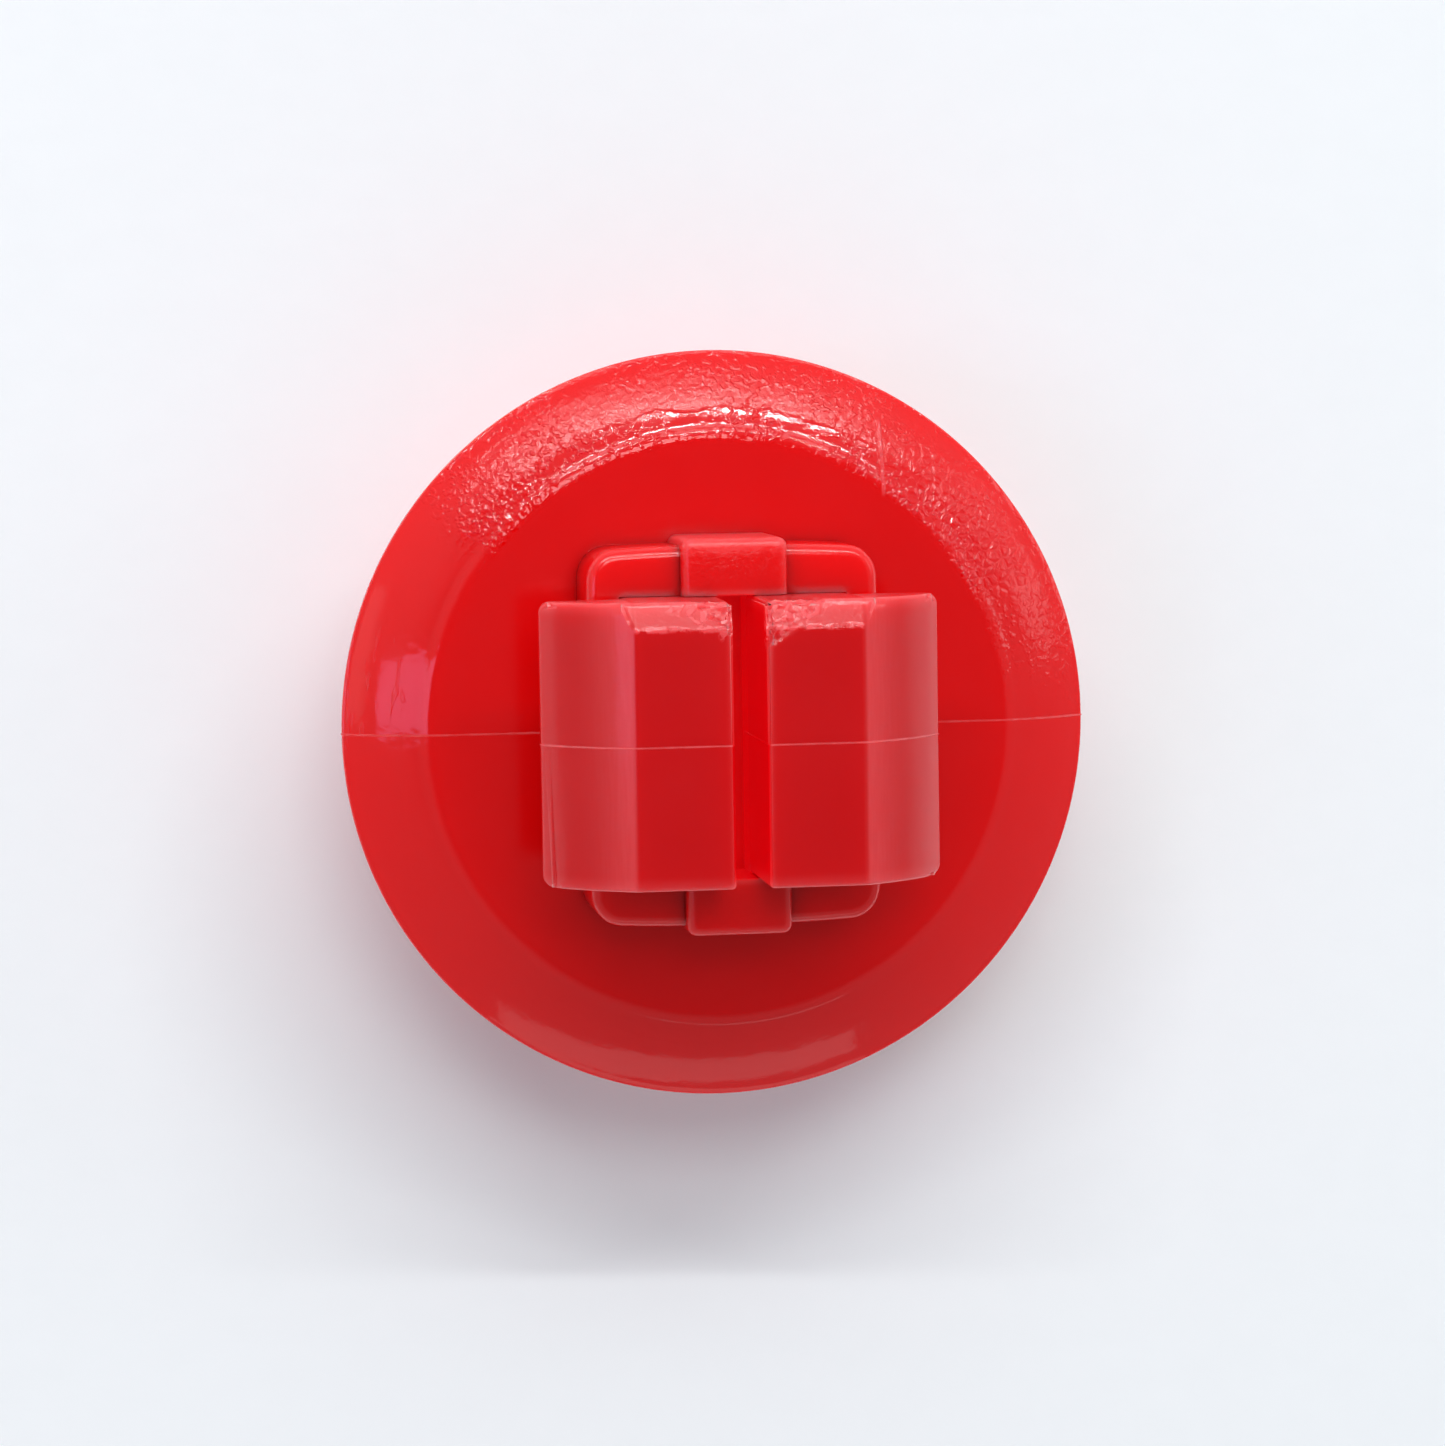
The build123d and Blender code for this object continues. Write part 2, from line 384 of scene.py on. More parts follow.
def model_leg(name, side):
    """One leg of the split stem: its root, its straight half and its barb, in one piece."""
    inner = leg_low.x
    outer = leg_high.x
    half = leg_high.y
    foot = leg_low.z
    tip = leg_high.z - FLASH_HEIGHT
    catch = barb_low.z
    reach = barb_high.x
    leg = add_box(name, (inner, -half, foot), (outer, half, tip))
    edit(leg)
    cut_across((0, 0, catch), (0, 0, 1))
    # the barb grows out of the leg's outer side, and its upper edge drops to make the lead-in
    pick_faces(leg, lambda centre, normal: normal.x > 0.9 and centre.z > catch)
    bpy.ops.mesh.extrude_region_move(TRANSFORM_OT_translate={"value": (reach - outer, 0, 0)})
    pick_edges(leg, lambda a, b: all(near(p.x, reach) and near(p.z, tip) for p in (a, b)))
    bpy.ops.transform.translate(value=(0, 0, NOSE_HIGH - tip))
    pick_edges(leg, lambda a, b: all(near(p.x, reach) and near(p.z, catch) for p in (a, b)))
    bpy.ops.transform.translate(value=(0, 0, NOSE_LOW - catch))
    pick_edges(leg, lambda a, b: all(near(p.x, reach) for p in (a, b)) and near(a.y, b.y))
    bpy.ops.mesh.bevel(offset=NOSE_CORNER, offset_type="OFFSET", segments=6)
    # the tip is worn down towards its rear end
    wear_start = half - TIP_WEAR_LENGTH
    cut_across((0, wear_start, tip), (0, TIP_WEAR_DROP, TIP_WEAR_LENGTH), clear_outer=True, fill=True)
    bpy.ops.mesh.select_all(action="SELECT")
    bpy.ops.mesh.dissolve_limited(angle_limit=math.radians(1))

    def is_crisp(a, b):
        at_foot = near(a.z, foot) and near(b.z, foot)
        at_wear_start = near(a.y, wear_start) and near(b.y, wear_start)
        in_nose_corner = a.x > outer + FINE and near(a.x, b.x) and near(a.y, b.y)
        return at_foot or at_wear_start or in_nose_corner

    pick_edges(leg, lambda a, b: not is_crisp(a, b))
    bpy.ops.mesh.bevel(offset=LEG_EDGE_ROUND, offset_type="OFFSET", segments=4, clamp_overlap=True)
    # the lead-in swells a little between the tip and the nose
    slope = Vector((reach - outer, 0, NOSE_HIGH - tip))
    for station in range(1, LEAD_IN_STATIONS):
        cut_across((outer + slope.x * station / LEAD_IN_STATIONS, 0, 0), (1, 0, 0))
    for station in range(1, LEAD_IN_STATIONS):
        part = station / LEAD_IN_STATIONS
        place = Vector((outer, 0, tip)) + slope * part
        lowest = place.z - 1.6 * LEG_EDGE_ROUND
        pick_edges(leg, lambda a, b: all(near(p.x, place.x) and p.z > lowest for p in (a, b)))
        swell = Vector((-slope.z, 0, slope.x)).normalized() * LEAD_IN_SWELL * 4 * part * (1 - part)
        bpy.ops.transform.translate(value=swell)
    # The root is drawn out below the foot. The bevel of its lower edges runs out at the foot's small
    # corners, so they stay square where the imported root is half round, and they overlap the guide block.
    root_depth = foot - root_low.z
    pick_faces(leg, lambda centre, normal: normal.z < -0.9 and near(centre.z, foot))
    bpy.ops.mesh.extrude_region_move(TRANSFORM_OT_translate={"value": (0, 0, -root_depth)})
    bottom = foot - root_depth
    pick_edges(leg, lambda a, b: near(a.z, bottom) and near(b.z, bottom) and near(a.x, b.x))
    bpy.ops.mesh.bevel(offset=root_depth * 0.995, offset_type="OFFSET", segments=16)
    tear_tip(leg, side, wear_start)
    if side < 0:
        bpy.ops.mesh.select_all(action="SELECT")
        bpy.ops.transform.mirror(constraint_axis=(True, False, False), center_override=(0, 0, 0))
    bpy.ops.object.mode_set(mode="OBJECT")
    finish_surface(leg)
    raise_parting_line(leg)
    finish_surface(leg, angle=18)
    return leg


def tear_tip(leg, side, wear_start):
    """Roughens the start of the worn end and tears the corner beside the slot."""
    inner = leg_low.x
    half = leg_high.y
    reach_across = 1.9 * MM if side > 0 else 1.2 * MM
    reach_along = 1.5 * MM if side > 0 else 1.1 * MM
    top = leg_high.z - TIP_WEAR_DROP - 2 * LEG_EDGE_ROUND
    for column in range(1, TEAR_COLUMNS):
        cut_across((inner + (leg_high.x - inner) * column / TEAR_COLUMNS, 0, 0), (1, 0, 0))
    for row in range(1, TEAR_ROWS):
        cut_across((0, half - reach_along * row / TEAR_ROWS, 0), (0, 1, 0))

    def at_wear_start(point):
        return near(point.y, wear_start) and point.z > top and point.x < leg_high.x

    pick_edges(leg, lambda a, b: at_wear_start(a) and at_wear_start(b))
    bpy.ops.transform.vertex_random(offset=TEAR_DEPTH * 0.45, seed=4 + side)

    def in_tear(point):
        across = (point.x - inner) / reach_across
        along = (half - point.y) / reach_along
        return point.z > top and 0 <= across and 0 <= along and across + along < 0.95

    pick_edges(leg, lambda a, b: in_tear(a) and in_tear(b))
    bpy.ops.transform.translate(value=(TEAR_DEPTH * 0.6, -TEAR_DEPTH * 0.6, -TEAR_DEPTH * 0.6))
    bpy.ops.transform.vertex_random(offset=TEAR_DEPTH, seed=9 + side)


# ---------------------------------------------------------------- plastic


def socket(group, name, kind, direction, value=None):
    """Adds a named input or output to a node group."""
    made = group.interface.new_socket(name=name, socket_type=kind, in_out=direction)
    if value is not None:
        made.default_value = value


class Wiring:
    """Adds nodes to a tree and joins them."""

    def __init__(self, tree):
        self.tree = tree

    def node(self, kind, **settings):
        made = self.tree.nodes.new(kind)
        for setting, value in settings.items():
            setattr(made, setting, value)
        return made

    def join(self, source, target):
        self.tree.links.new(source, target)

    def feed(self, value, target):
        """Joins a socket, or sets a number or colour."""
        if isinstance(value, bpy.types.NodeSocket):
            self.join(value, target)
        else:
            target.default_value = value

    def math(self, operation, a, b=0.5, c=0.5, clamp=False):
        made = self.node("ShaderNodeMath", operation=operation, use_clamp=clamp)
        for index, value in enumerate((a, b, c)):
            self.feed(value, made.inputs[index])
        return made.outputs[0]

    def blend(self, factor, first, second):
        made = self.node("ShaderNodeMix", data_type="RGBA")
        self.feed(factor, made.inputs["Factor"])
        self.feed(first, made.inputs["A"])
        self.feed(second, made.inputs["B"])
        return made.outputs["Result"]

    def ramp(self, value, low, high):
        """0 below low, 1 above high, smooth between."""
        made = self.node("ShaderNodeMapRange", interpolation_type="SMOOTHSTEP")
        self.feed(value, made.inputs["Value"])
        made.inputs["From Min"].default_value = low
        made.inputs["From Max"].default_value = high
        return made.outputs["Result"]

    def product(self, *values):
        made = values[0]
        for value in values[1:]:
            made = self.math("MULTIPLY", made, value)
        return made

    def fall(self, value, low, high):
        """1 below low, 0 above high, smooth between."""
        return self.math("SUBTRACT", 1.0, self.ramp(value, low, high))

    def place(self):
        """The point on the piece, whole and split into X, Y and Z."""
        whole = self.node("ShaderNodeTexCoord").outputs["Object"]
        split = self.node("ShaderNodeSeparateXYZ")
        self.join(whole, split.inputs[0])
        return whole, split.outputs["X"], split.outputs["Y"], split.outputs["Z"]

    def stretched(self, place, along_y):
        """The place with its Y scaled, which draws a texture out along Y."""
        made = self.node("ShaderNodeVectorMath", operation="MULTIPLY")
        self.join(place, made.inputs[0])
        made.inputs[1].default_value = (1.0, along_y, 1.0)
        return made.outputs[0]

    def noise(self, place, scale, detail=3.0, distortion=0.0):
        made = self.node("ShaderNodeTexNoise")
        self.join(place, made.inputs["Vector"])
        self.feed(scale, made.inputs["Scale"])
        made.inputs["Detail"].default_value = detail
        made.inputs["Distortion"].default_value = distortion
        return made.outputs["Fac"]


def parting_line_group():
    """A mask of the thin, broken flash line on Y = 0."""
    group = bpy.data.node_groups.new("parting line", "ShaderNodeTree")
    socket(group, "Half Width", "NodeSocketFloat", "INPUT", 0.00004)
    socket(group, "Line", "NodeSocketFloat", "OUTPUT")
    wiring = Wiring(group)
    ends_in = wiring.node("NodeGroupInput")
    ends_out = wiring.node("NodeGroupOutput")
    place, _, y, _ = wiring.place()
    across = wiring.math("DIVIDE", wiring.math("ABSOLUTE", y), ends_in.outputs["Half Width"])
    line = wiring.fall(across, 0.5, 1.4)
    broken = wiring.ramp(wiring.noise(place, 1500.0, detail=2.0), 0.38, 0.6)
    wiring.join(wiring.math("MULTIPLY", line, broken), ends_out.inputs["Line"])
    return group


def orange_peel_group():
    """Heights and a roughness change for the slightly uneven skin of a cheap moulding."""
    group = bpy.data.node_groups.new("orange peel", "ShaderNodeTree")
    socket(group, "Fine", "NodeSocketFloat", "INPUT", 0.4)
    socket(group, "Coarse", "NodeSocketFloat", "INPUT", 0.6)
    socket(group, "Height", "NodeSocketFloat", "OUTPUT")
    socket(group, "Patchiness", "NodeSocketFloat", "OUTPUT")
    wiring = Wiring(group)
    ends_in = wiring.node("NodeGroupInput")
    ends_out = wiring.node("NodeGroupOutput")
    place = wiring.node("ShaderNodeTexCoord").outputs["Object"]
    fine = wiring.math("MULTIPLY", wiring.noise(place, 9000.0, detail=3.0), ends_in.outputs["Fine"])
    coarse = wiring.math("MULTIPLY", wiring.noise(place, 1600.0, detail=2.0), ends_in.outputs["Coarse"])
    wiring.join(wiring.math("ADD", fine, coarse), ends_out.inputs["Height"])
    wiring.join(wiring.noise(place, 420.0, detail=4.0), ends_out.inputs["Patchiness"])
    return group


def thin_edge_light_group():
    """A mask that is 1 on outer edges, where the plastic is thin; the paleness it drives is painted light
    that the thin plastic lets through, with some frosting.
    """
    group = bpy.data.node_groups.new("thin edge light and frost", "ShaderNodeTree")
    socket(group, "Reach", "NodeSocketFloat", "INPUT", 0.00034)
    socket(group, "Edge", "NodeSocketFloat", "OUTPUT")
    wiring = Wiring(group)
    ends_in = wiring.node("NodeGroupInput")
    ends_out = wiring.node("NodeGroupOutput")
    inside = wiring.node("ShaderNodeAmbientOcclusion", inside=True, samples=8, only_local=True)
    wiring.join(ends_in.outputs["Reach"], inside.inputs["Distance"])
    thin = wiring.math("SUBTRACT", 1.0, inside.outputs["AO"])
    wiring.join(wiring.ramp(thin, 0.06, 0.5), ends_out.inputs["Edge"])
    return group


parting_line = parting_line_group()
orange_peel = orange_peel_group()
thin_edge_light = thin_edge_light_group()

DEEP_RED = (0.74, 0.002, 0.003, 1)
PALE_RED = (0.82, 0.09, 0.10, 1)
LEG_RED = (0.63, 0.002, 0.004, 1)
# Colour of a painted glow: emission on the slot walls that stands in for light coming through the
# translucent plastic.
SLOT_PAINTED_GLOW = (0.18, 0.0, 0.001, 1)


def red_plastic(name, red, roughness, fine, coarse, bump, edge_paleness, edge_reach, marks=None):
    """The button's waxy red polyethylene, with each piece's own skin and marks."""
    material = bpy.data.materials.new(name)
    material.use_nodes = True
    wiring = Wiring(material.node_tree)
    shader = material.node_tree.nodes["Principled BSDF"]
    shader.inputs["IOR"].default_value = 1.5
    shader.inputs["Subsurface Weight"].default_value = 1.0
    shader.inputs["Subsurface Radius"].default_value = (1.0, 0.12, 0.1)
    shader.inputs["Subsurface Scale"].default_value = 0.0018

    skin = wiring.node("ShaderNodeGroup", node_tree=orange_peel)
    skin.inputs["Fine"].default_value = fine
    skin.inputs["Coarse"].default_value = coarse
    line = wiring.node("ShaderNodeGroup", node_tree=parting_line)
    edges = wiring.node("ShaderNodeGroup", node_tree=thin_edge_light)
    edges.inputs["Reach"].default_value = edge_reach

    patchy = wiring.ramp(skin.outputs["Patchiness"], 0.35, 0.7)
    # Paleness on thin outer edges is painted light through the thin plastic, with some frosting.
    looks = {
        "red": red,
        "painted_glow": None,
        "paleness": wiring.math("MULTIPLY", edges.outputs["Edge"], edge_paleness),
        "height": skin.outputs["Height"],
        "gloss": wiring.math("ADD", roughness, wiring.math("MULTIPLY", patchy, 0.02)),
    }
    add_paleness(wiring, looks, wiring.math("MULTIPLY", line.outputs["Line"], 0.2))
    add_paleness(wiring, looks, wiring.math("MULTIPLY", patchy, 0.01))
    if marks:
        marks(wiring, looks)
    wiring.join(wiring.blend(looks["paleness"], looks["red"], PALE_RED), shader.inputs["Base Color"])
    wiring.join(looks["gloss"], shader.inputs["Roughness"])
    # A painted glow, where a piece's marks give one.
    if looks["painted_glow"]:
        wiring.join(looks["painted_glow"], shader.inputs["Emission Color"])
        shader.inputs["Emission Strength"].default_value = 1.0
    relief = wiring.node("ShaderNodeBump")
    relief.inputs["Strength"].default_value = bump
    relief.inputs["Distance"].default_value = 0.00003
    wiring.join(looks["height"], relief.inputs["Height"])
    wiring.join(relief.outputs["Normal"], shader.inputs["Normal"])
    return material


def add_paleness(wiring, looks, more):
    """Makes the plastic paler by a mask."""
    looks["paleness"] = wiring.math("ADD", looks["paleness"], more, clamp=True)


def bevel_marks(wiring, looks):
    """The ring outside the smooth seat: glints, a hazy zone with a painted pink veil of reflected light, a
    leathery patch, a knit line and scuffs.
    """
    place, x, y, _ = wiring.place()
    radius = wiring.math("SQRT", wiring.math("ADD", wiring.product(x, x), wiring.product(y, y)))
    angle = wiring.math("ARCTAN2", y, x)
    on_ring = wiring.ramp(radius, 9.0 * MM, 9.2 * MM)
    ragged = wiring.math("ADD", radius, wiring.product(wiring.noise(place, 1300.0), 0.5 * MM))
    inside_rim = wiring.fall(radius, 11.4 * MM, 11.8 * MM)
    outer_zone = wiring.product(wiring.ramp(ragged, 10.35 * MM, 10.5 * MM), inside_rim)
    patches = wiring.ramp(wiring.noise(place, 300.0), 0.4, 0.6)
    rough_arc = wiring.product(wiring.ramp(angle, -0.1, 0.5), wiring.fall(angle, 2.3, 2.6))
    outer_zone = wiring.product(outer_zone, wiring.math("ADD", 0.15, wiring.product(rough_arc, 0.85)))

    # glints: small bumps that thicken in patches, and haze further out
    glints = wiring.product(wiring.ramp(wiring.noise(place, 4600.0, detail=1.0), 0.48, 0.72), on_ring)
    glints = wiring.product(glints, wiring.math("ADD", 0.1, patches), rough_arc)
    by_seat = wiring.fall(radius, 9.4 * MM, 9.6 * MM)
    seat_edge = wiring.product(wiring.noise(place, 4400.0, detail=1.0), by_seat, on_ring, rough_arc)
    rubbed = wiring.product(wiring.ramp(angle, 2.1, 2.25), wiring.fall(angle, 2.4, 2.55))
    rubbed = wiring.product(rubbed, wiring.fall(radius, 10.4 * MM, 10.9 * MM))
    rubbed = wiring.product(rubbed, on_ring, wiring.noise(place, 4200.0, detail=1.0))
    haze = wiring.product(wiring.noise(place, 3800.0, detail=4.0, distortion=0.6), outer_zone)
    smooth_swell = wiring.product(looks["height"], on_ring)

    leather_zone = wiring.product(on_ring, wiring.ramp(angle, 0.35, 0.5), wiring.fall(angle, 0.88, 1.0))
    leather_zone = wiring.product(leather_zone, wiring.fall(radius, 10.9 * MM, 11.4 * MM))
    cells = wiring.node("ShaderNodeTexVoronoi", feature="DISTANCE_TO_EDGE")
    wiring.join(place, cells.inputs["Vector"])
    cells.inputs["Scale"].default_value = 3300.0
    leather = wiring.product(wiring.ramp(cells.outputs["Distance"], 0.0, 0.3), leather_zone)

    knit_away = wiring.math("ABSOLUTE", wiring.math("SUBTRACT", x, KNIT_LINE_X))
    knit = wiring.fall(knit_away, 0.02 * MM, 0.08 * MM)
    knit = wiring.product(knit, wiring.ramp(y, 7.2 * MM, 7.4 * MM), wiring.fall(y, 9.5 * MM, 9.8 * MM))

    scratchy = wiring.noise(wiring.stretched(place, 0.22), 2400.0, detail=5.0, distortion=1.5)
    scuffs = wiring.product(wiring.ramp(scratchy, 0.6, 0.68), on_ring, wiring.fall(x, -10.6 * MM, -9.6 * MM))
    scuffs = wiring.product(scuffs, wiring.fall(y, 2.0 * MM, 4.2 * MM), wiring.ramp(y, -1.0 * MM, 0.6 * MM))

    height = smooth_swell
    textures = (
        (glints, 0.8),
        (seat_edge, 0.35),
        (rubbed, 1.6),
        (haze, 0.8),
        (leather, 0.8),
        (knit, 1.0),
        (scuffs, 0.4),
    )
    for part, share in textures:
        height = wiring.math("ADD", height, wiring.product(part, share))
    looks["height"] = height
    looks["gloss"] = wiring.math("ADD", looks["gloss"], wiring.product(outer_zone, 0.1))
    looks["gloss"] = wiring.math("SUBTRACT", looks["gloss"], wiring.product(on_ring, 0.08))
    # The outer zone's share is a painted pink veil of reflected light, strongest on the upper arc.
    for part, share in ((outer_zone, 0.03), (knit, 0.6), (scuffs, 0.15), (leather_zone, 0.03)):
        add_paleness(wiring, looks, wiring.product(part, share))


def slot_walls(wiring, looks):
    """The walls of the slot, with a painted glow: an emission that stands in for the light that reaches them
    through the waxy legs and rib.
    """
    _, x, y, z = wiring.place()
    in_slot = wiring.fall(wiring.math("ABSOLUTE", x), leg_low.x + 0.02 * MM, leg_low.x + 0.10 * MM)
    in_slot = wiring.product(in_slot, wiring.ramp(z, SLOT_FLOOR - 0.2 * MM, SLOT_FLOOR - 0.1 * MM))
    along = wiring.math("ABSOLUTE", y)
    in_slot = wiring.product(in_slot, wiring.fall(along, leg_high.y + WELL_GAP, leg_high.y + 0.1 * MM))
    # Painted glow on the slot walls.
    looks["painted_glow"] = wiring.blend(in_slot, (0, 0, 0, 1), SLOT_PAINTED_GLOW)
    looks["paleness"] = wiring.product(looks["paleness"], wiring.math("SUBTRACT", 1.0, in_slot))


def block_marks(wiring, looks):
    """The block's sides run into the rib without the painted thin-edge light and frosting between."""
    _, x, _, _ = wiring.place()
    away = wiring.math("ABSOLUTE", x)
    off_rib = wiring.ramp(away, rib_high.x + 0.1 * MM, rib_high.x + 0.45 * MM)
    looks["paleness"] = wiring.product(looks["paleness"], off_rib)


def rib_marks(wiring, looks):
    """The rib's walls in the slot with their painted glow, and the frosted rear end of its top, painted
    paler as well with the sheen that a rounder end would catch.
    """
    slot_walls(wiring, looks)
    place, _, y, _ = wiring.place()
    ragged = wiring.math("ADD", y, wiring.product(wiring.noise(place, 1600.0), 0.5 * MM))
    # Frosting at the rear end, painted paler as well with the sheen that a rounder end would catch.
    frost_and_sheen = wiring.ramp(ragged, 5.8 * MM, 6.2 * MM)
    mottle = wiring.noise(place, 4800.0, detail=4.0)
    near_end = wiring.ramp(y, 4.6 * MM, 5.6 * MM)
    looks["gloss"] = wiring.math("ADD", looks["gloss"], wiring.product(frost_and_sheen, 0.12))
    looks["height"] = wiring.math("ADD", looks["height"], wiring.product(mottle, near_end, 0.9))
    add_paleness(wiring, looks, wiring.product(frost_and_sheen, 0.35))
    add_paleness(wiring, looks, wiring.product(wiring.ramp(mottle, 0.5, 0.7), near_end, 0.12))


def leg_marks(wiring, looks):
    """A leg's slot wall with its painted glow, its lead-in with drawn streaks and a painted highlight by the
    tip's edge, its frosted ends painted paler with the sheen of a rounder end, its worn tip with a painted
    highlight on the ridge where the wear starts, and its torn, whitened corner.
    """
    slot_walls(wiring, looks)
    place, x, y, z = wiring.place()
    across = wiring.math("ABSOLUTE", x)
    along = wiring.math("ABSOLUTE", y)
    outer = leg_high.x
    reach = barb_high.x
    half = leg_high.y
    above_catch = wiring.ramp(z, barb_low.z + 0.05 * MM, barb_low.z + 0.2 * MM)

    streaks = wiring.noise(wiring.stretched(place, 0.07), 11000.0)
    # The lead-in's paleness is a painted highlight, strongest by the tip's edge and broken by the drawn
    # streaks.
    lead_in_highlight = wiring.product(wiring.ramp(across, outer - 0.05 * MM, outer + 0.1 * MM), above_catch)
    fading = wiring.fall(across, outer, outer + 0.8 * (reach - outer))
    lead_in_highlight = wiring.product(lead_in_highlight, wiring.math("ADD", 0.03, wiring.product(fading, fading, 0.6)))
    lead_in_highlight = wiring.product(lead_in_highlight, wiring.math("ADD", 0.62, wiring.product(streaks, 0.5)))
    add_paleness(wiring, looks, lead_in_highlight)

    # Painted sheen of a rounder end, with frosting, on the last half millimetre of each end.
    end_sheen_and_frost = wiring.product(wiring.ramp(along, half - 0.5 * MM, half), 0.3)
    add_paleness(wiring, looks, end_sheen_and_frost)
    wear_start = half - TIP_WEAR_LENGTH
    wavy = wiring.math("ADD", y, wiring.product(wiring.noise(place, 1800.0, detail=3.0), 0.24 * MM))
    on_tip = wiring.fall(across, outer - 0.1 * MM, outer + 0.05 * MM)
    on_tip = wiring.product(on_tip, wiring.ramp(z, 5.9 * MM, 6.1 * MM))
    worn = wiring.product(wiring.ramp(wavy, wear_start + 0.08 * MM, wear_start + 0.16 * MM), on_tip)
    add_paleness(wiring, looks, wiring.product(worn, 0.42))
    ridge_away = wiring.math("ABSOLUTE", wiring.math("SUBTRACT", wavy, wear_start + 0.13 * MM))
    broken = wiring.ramp(wiring.noise(place, 4200.0, detail=2.0), 0.38, 0.55)
    # The ridge where the wear starts: a bump, with a painted highlight along it.
    ridge_with_highlight = wiring.product(wiring.fall(ridge_away, 0.03 * MM, 0.11 * MM), on_tip, broken)
    add_paleness(wiring, looks, ridge_with_highlight)
    frosting = wiring.product(worn, wiring.noise(place, 5200.0, detail=3.0))

    from_slot = wiring.product(wiring.math("SUBTRACT", across, leg_low.x), 0.6)
    from_corner = wiring.math("ADD", from_slot, wiring.math("SUBTRACT", half, y))
    torn = wiring.product(wiring.fall(from_corner, 1.1 * MM, 1.6 * MM), on_tip)
    fibres = wiring.ramp(wiring.noise(place, 2600.0, detail=4.0, distortion=1.2), 0.48, 0.58)
    torn_fibres = wiring.product(torn, fibres)
    add_paleness(wiring, looks, torn_fibres)
    for part, share in ((torn_fibres, 1.2), (frosting, 0.9), (ridge_with_highlight, 1.0), (streaks, 0.12)):
        looks["height"] = wiring.math("ADD", looks["height"], wiring.product(part, share))


flange_red = red_plastic("flange red", DEEP_RED, 0.14, 0.0, 0.3, 1.0, 0.15, 0.3 * MM, bevel_marks)
pad_red = red_plastic("pad red", DEEP_RED, 0.18, 0.1, 0.5, 0.3, 0.3, 0.3 * MM)
block_red = red_plastic("guide block red", DEEP_RED, 0.13, 0.25, 0.3, 0.5, 0.7, 0.34 * MM, block_marks)
rib_red = red_plastic("rib red", DEEP_RED, 0.18, 0.5, 0.4, 0.7, 0.7, 0.34 * MM, rib_marks)
leg_red = red_plastic("leg red", LEG_RED, 0.2, 0.25, 0.3, 0.4, 0.8, 0.22 * MM, leg_marks)

# ---------------------------------------------------------------- pieces, bodies and finishes


def fit_piece(piece, material, body, slot_name, *nodes):
    """Gives a piece its plastic and its body, and hides the CAD nodes it stands for. The slot name is not
    used.
    """
    piece.data.materials.clear()
    piece.data.materials.append(material)
    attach(piece, body)
    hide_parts(*nodes)


fit_piece(model_flange(), flange_red, "button", "flange_plastic", "flange")
fit_piece(model_thumb_pad(), pad_red, "button", "pad_plastic", "thumb_pad")
fit_piece(model_shoulder("block_left_side", -1), block_red, "button", "block_plastic", "left_shoulder")
fit_piece(model_shoulder("block_right_side", 1), block_red, "button", "block_plastic", "right_shoulder")
fit_piece(model_rib(), rib_red, "button", "block_plastic", "centre_rib", "front_post", "rear_post")
left = model_leg("snap_leg_left", -1)
fit_piece(left, leg_red, "left_leg", "leg_plastic", "left_leg", "left_barb", "left_leg_root")
right = model_leg("snap_leg_right", 1)
fit_piece(right, leg_red, "right_leg", "leg_plastic", "right_leg", "right_barb", "right_leg_root")

# ---------------------------------------------------------------- paper, light and camera


def paper_material():
    """Plain white paper with a faint tooth."""
    material = bpy.data.materials.new("white paper")
    material.use_nodes = True
    wiring = Wiring(material.node_tree)
    shader = material.node_tree.nodes["Principled BSDF"]
    shader.inputs["Roughness"].default_value = 0.95
    shader.inputs["Specular IOR Level"].default_value = 0.1
    place = wiring.node("ShaderNodeTexCoord").outputs["Object"]
    tooth = wiring.noise(place, 900.0, detail=4.0)
    cloud = wiring.noise(place, 12.0, detail=2.0)
    tone = wiring.math("ADD", wiring.math("MULTIPLY", tooth, 0.3), wiring.math("MULTIPLY", cloud, 0.7))
    wiring.join(
        wiring.blend(wiring.ramp(tone, 0.3, 0.7), (0.92, 0.955, 0.965, 1), (0.945, 0.98, 0.99, 1)),
        shader.inputs["Base Color"],
    )
    relief = wiring.node("ShaderNodeBump")
    relief.inputs["Strength"].default_value = 0.15
    relief.inputs["Distance"].default_value = 0.0001
    wiring.join(tooth, relief.inputs["Height"])
    wiring.join(relief.outputs["Normal"], shader.inputs["Normal"])
    return material


clear_selection()
bpy.ops.mesh.primitive_plane_add(size=3.0, location=(0, 0, pad_low.z))
paper = begin("paper_floor")
bpy.ops.object.transform_apply(location=True, rotation=True, scale=True)
paper.data.materials.append(paper_material())

rim_centre = Vector((0, 0, -BEVEL_DEPTH))


def softbox(name, direction, width, height, power, colour=(1, 1, 1)):
    """A rectangular light that faces the button from a direction."""
    direction = Vector(direction).normalized()
    data = bpy.data.lights.new(name, "AREA")
    data.shape = "RECTANGLE"
    data.size = width
    data.size_y = height
    data.energy = power
    data.color = colour
    lamp = bpy.data.objects.new(name, data)
    facing = direction.to_track_quat("Z", "Y").to_matrix().to_4x4()
    lamp.matrix_world = Matrix.Translation(rim_centre + direction * LIGHT_DISTANCE) @ facing
    bpy.context.scene.collection.objects.link(lamp)


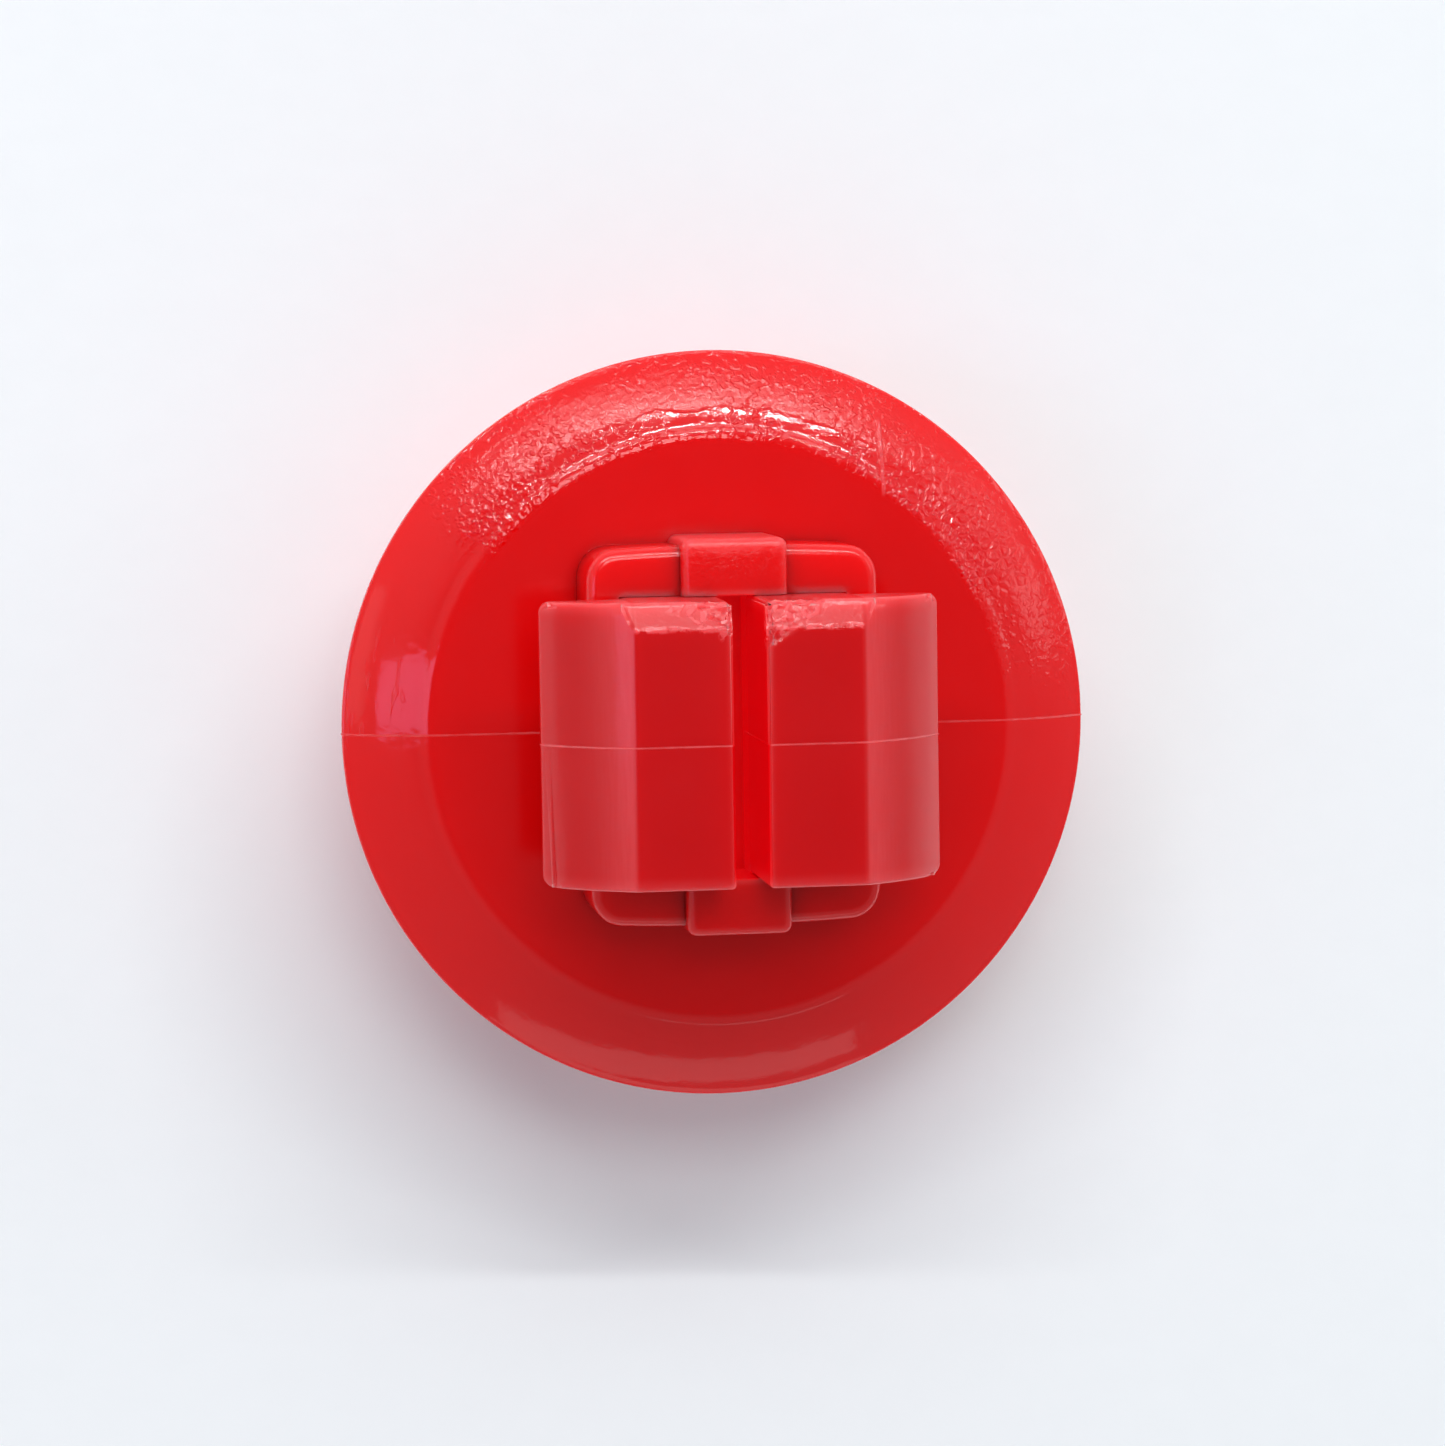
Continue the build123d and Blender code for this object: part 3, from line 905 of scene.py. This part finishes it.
softbox("overhead", (-0.02, 0.36, 0.93), 0.18, 0.12, 0.36)
softbox("window", (0.06, 0.78, 0.63), 0.50, 0.10, 0.33)
softbox("window_sill", (0.03, 0.675, 0.737), 0.60, 0.013, 1.2)
softbox("side_pane", (-0.655, 0.015, 0.752), 0.10, 0.20, 0.12, (1.0, 0.55, 1.0))
softbox("left_fill", (-0.88, 0.15, 0.42), 0.2, 0.1, 0.03)
softbox("right_fill", (0.88, 0.30, 0.42), 0.2, 0.1, 0.12)
softbox("front_low", (0.0, -0.93, 0.36), 0.5, 0.12, 0.12)

world = bpy.data.worlds.new("bright room")
bpy.context.scene.world = world
world.use_nodes = True
sky = Wiring(world.node_tree)
background = world.node_tree.nodes["Background"]
sky_split = sky.node("ShaderNodeSeparateXYZ")
sky.join(sky.node("ShaderNodeTexCoord").outputs["Generated"], sky_split.inputs[0])
overhead = sky.ramp(sky_split.outputs["Z"], 0.75, 0.95)
window_side = sky.ramp(sky_split.outputs["Y"], -0.3, 0.8)
walls = sky.blend(window_side, (0.38, 0.40, 0.42, 1), (0.66, 0.70, 0.73, 1))
sky.join(sky.blend(overhead, walls, (0.14, 0.15, 0.16, 1)), background.inputs["Color"])
background.inputs["Strength"].default_value = 1.0

# The camera looks down the stem from a little to the left and above
CAMERA_DISTANCE = 0.1442
view_back = Vector((-0.138, 0.084, 0.987)).normalized()
view_roll = math.radians(0.9)
up_hint = Vector((math.sin(view_roll), math.cos(view_roll), 0))
view_right = up_hint.cross(view_back).normalized()
view_up = view_back.cross(view_right)
aim = rim_centre + view_right * 0.00021 + view_up * 0.00005
camera_data = bpy.data.cameras.new("camera")
camera_data.lens = 112
camera_data.sensor_width = 36
camera_data.clip_start = 0.01
camera_data.clip_end = 20
camera = bpy.data.objects.new("camera", camera_data)
axes = Matrix((view_right, view_up, view_back)).transposed().to_4x4()
camera.matrix_world = Matrix.Translation(aim + view_back * CAMERA_DISTANCE) @ axes
bpy.context.scene.collection.objects.link(camera)
bpy.context.scene.camera = camera

bpy.context.scene.view_settings.view_transform = "Standard"
